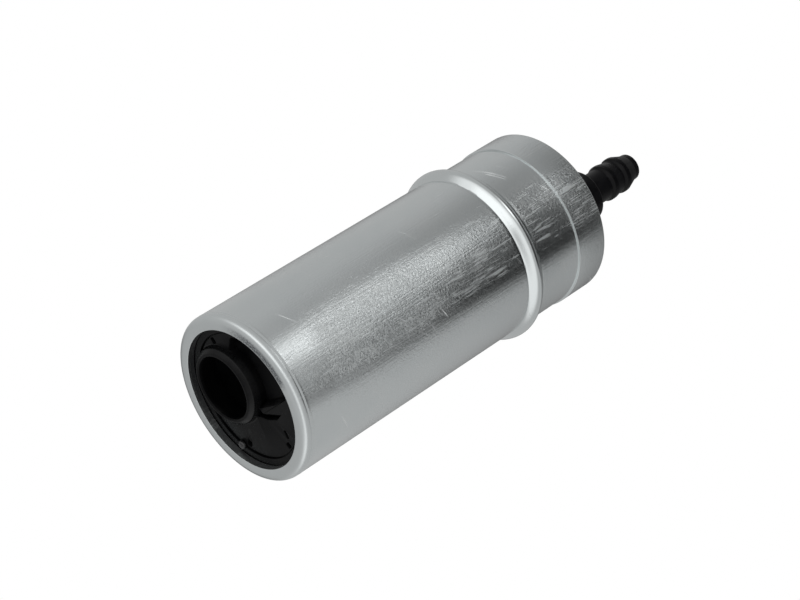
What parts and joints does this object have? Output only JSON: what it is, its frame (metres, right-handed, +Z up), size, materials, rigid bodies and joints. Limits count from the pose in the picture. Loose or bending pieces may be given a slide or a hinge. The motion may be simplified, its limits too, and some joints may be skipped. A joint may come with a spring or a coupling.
{
  "type": "in-tank electric fuel pump",
  "caption": "Zinc-plated steel can with a rolled bead, a black inlet cover with an off-centre suction tube, a ribbed hose barb and blade terminals; side-channel pump and motor inside.",
  "frame": {"origin": "centre of the can's inlet rim, which the pump stands on", "axes": "+Z runs up the can from the inlet rim to the hose barb; the barb stands towards +Y and the suction tube lies towards +X and -Y"},
  "size_m": [0.0466, 0.0466, 0.1304],
  "materials": {
    "zinc_steel": "bright zinc plating, semi-matte, with fine scratches",
    "black_plastic": "moulded, satin",
    "seal_rubber": "matte",
    "plate_aluminium": "die cast and turned",
    "phenolic": "moulded",
    "bronze": "sintered",
    "steel": "ground",
    "lamination_iron": "stacked sheet",
    "copper": "bare and enamelled copper",
    "ferrite": "matte",
    "carbon": "pressed carbon, matte",
    "tinned_brass": "tinned",
    "valve_brass": "turned",
    "washer_plastic": "moulded"
  },
  "bodies": {
    "pump": {"pump_can": "zinc_steel", "inlet_cover": "black_plastic", "inlet_seal": "seal_rubber", "suction_plate": "plate_aluminium", "thrust_disc": "steel", "pump_ring": "plate_aluminium", "pressure_plate": "plate_aluminium", "lower_bush": "bronze", "spacer_ring": "black_plastic", "magnet_a": "ferrite", "magnet_b": "ferrite", "magnet_clip_a": "steel", "magnet_clip_b": "steel", "upper_bush": "bronze", "outlet_cover": "black_plastic", "outlet_seal": "seal_rubber", "brush_spring_a": "steel", "brush_spring_b": "steel", "choke_positive": "copper", "choke_negative": "copper", "terminal_positive": "tinned_brass", "terminal_negative": "tinned_brass", "check_seat": "valve_brass", "check_spring": "steel", "relief_spring": "steel", "relief_plug": "valve_brass"},
    "rotor": {"impeller": "phenolic", "armature_shaft": "steel", "lower_washer": "washer_plastic", "upper_washer": "washer_plastic", "lamination_stack": "lamination_iron", "armature_winding": "copper", "commutator_hub": "phenolic", "commutator": "copper"},
    "brush_a": {"brush_a": "carbon"},
    "brush_b": {"brush_b": "carbon"},
    "check_valve": {"check_poppet": "seal_rubber"},
    "relief_valve": {"relief_ball": "steel"}
  },
  "joints": [
    {"name": "rotor_spin", "type": "hinge", "parent": "pump", "child": "rotor", "pos_m": [0, 0, 0.0625], "axis": [0, 0, 1], "continuous": true},
    {"name": "brush_a_slide", "type": "slide", "parent": "pump", "child": "brush_a", "axis": [0, 0, 1], "range_m": [0, 0.003], "stiffness_N_per_m": 100, "springref_m": -0.008, "deforming": ["brush_spring_a"]},
    {"name": "brush_b_slide", "type": "slide", "parent": "pump", "child": "brush_b", "axis": [0, 0, 1], "range_m": [0, 0.003], "stiffness_N_per_m": 100, "springref_m": -0.008, "deforming": ["brush_spring_b"]},
    {"name": "check_valve_lift", "type": "slide", "parent": "pump", "child": "check_valve", "axis": [0, 0, 1], "range_m": [0, 0.0025], "stiffness_N_per_m": 60, "springref_m": -0.004, "deforming": ["check_spring"]},
    {"name": "relief_valve_lift", "type": "slide", "parent": "pump", "child": "relief_valve", "axis": [0, 0, 1], "range_m": [0, 0.001], "stiffness_N_per_m": 400, "springref_m": -0.0045, "deforming": ["relief_spring"]}
  ]
}
